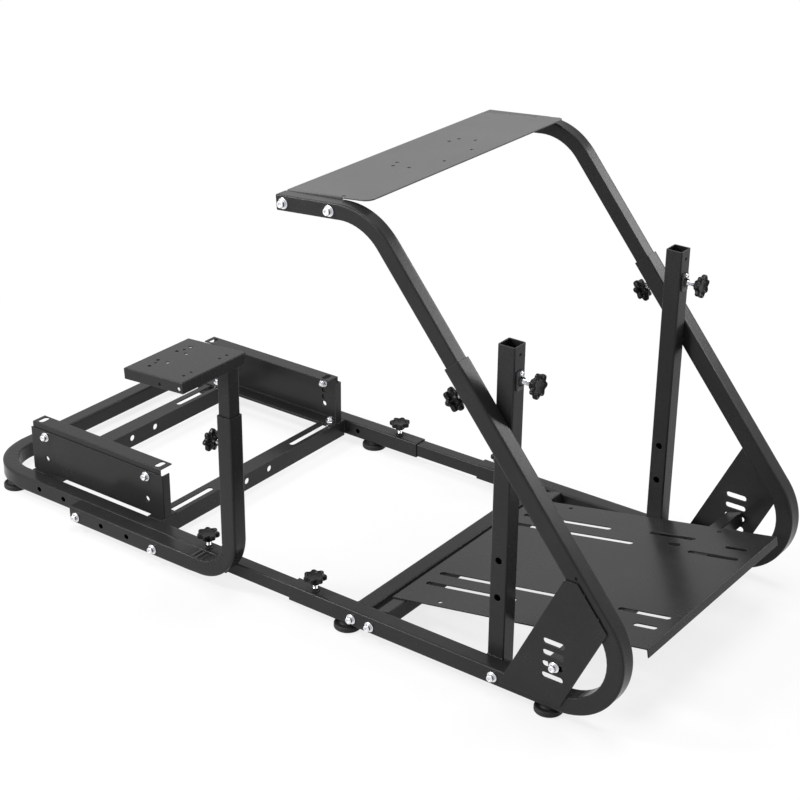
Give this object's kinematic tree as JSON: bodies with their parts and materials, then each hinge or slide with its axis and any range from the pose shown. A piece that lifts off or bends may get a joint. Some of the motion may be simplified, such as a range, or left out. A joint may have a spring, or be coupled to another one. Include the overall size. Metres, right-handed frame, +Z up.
{
  "type": "gaming simulator stand",
  "caption": "Tubular racing cockpit stand with slotted seat plate, telescopic wheel deck, pedal brackets, side gear-shifter plate and clamping star knobs.",
  "frame": {"origin": "floor level under the middle of the bounding box, in the rest pose", "axes": "+X from the pedals to the seat, +Y to the driver's right, +Z up"},
  "size_m": [1.3959, 0.726, 0.7421],
  "materials": {
    "frame_coat": "satin",
    "plate_coat": "satin",
    "foot_rubber": "matte",
    "knob_plastic": "matte",
    "screw_steel": "polished"
  },
  "bodies": {
    "rear_frame": {"side_frame_left": "frame_coat", "side_frame_right": "frame_coat", "gusset_left": "frame_coat", "gusset_right": "frame_coat", "post_left": "frame_coat", "post_right": "frame_coat", "post_lug_left": "frame_coat", "post_lug_right": "frame_coat", "post_clamp_left": "plate_coat", "post_clamp_right": "plate_coat", "front_cross_tube": "frame_coat", "seat_pivot_tube": "frame_coat", "seat_rear_tube": "frame_coat", "seat_plate": "frame_coat", "rear_feet_left": "foot_rubber", "rear_feet_right": "foot_rubber", "rail_knob_left": "knob_plastic", "rail_knob_right": "knob_plastic", "height_knob_left": "knob_plastic", "height_knob_right": "knob_plastic", "post_knob_left": "knob_plastic", "post_knob_right": "knob_plastic", "rear_clamp_screws": "screw_steel"},
    "links": {"slide_tube_left": "frame_coat", "slide_tube_right": "frame_coat"},
    "front_frame": {"front_loop": "frame_coat", "middle_crossbar": "frame_coat", "rear_crossbar": "frame_coat", "pedal_lower_bracket_left": "frame_coat", "pedal_lower_bracket_right": "frame_coat", "pedal_upper_bracket_left": "frame_coat", "pedal_upper_bracket_right": "frame_coat", "shifter_arm": "frame_coat", "front_feet_left": "foot_rubber", "front_feet_right": "foot_rubber", "front_knob_left": "knob_plastic", "front_knob_right": "knob_plastic", "shifter_knob": "knob_plastic", "front_clamp_screws": "screw_steel"},
    "shifter": {"shifter_post": "frame_coat", "shifter_plate": "frame_coat"},
    "wheel_deck": {"wheel_arm_left": "frame_coat", "wheel_arm_right": "frame_coat", "wheel_plate": "plate_coat"}
  },
  "joints": [
    {"name": "link_slide", "type": "slide", "parent": "rear_frame", "child": "links", "axis": [1, 0, 0], "range_m": [-0.02, 0.035]},
    {"name": "front_frame_slide", "type": "slide", "parent": "links", "child": "front_frame", "axis": [1, 0, 0], "range_m": [-0.02, 0.045]},
    {"name": "shifter_slide", "type": "slide", "parent": "front_frame", "child": "shifter", "axis": [0, 0, 1], "range_m": [-0.07, 0.08]},
    {"name": "deck_slide", "type": "slide", "parent": "rear_frame", "child": "wheel_deck", "axis": [-0.6334, 0, 0.7738], "range_m": [-0.15, 0.09]}
  ]
}
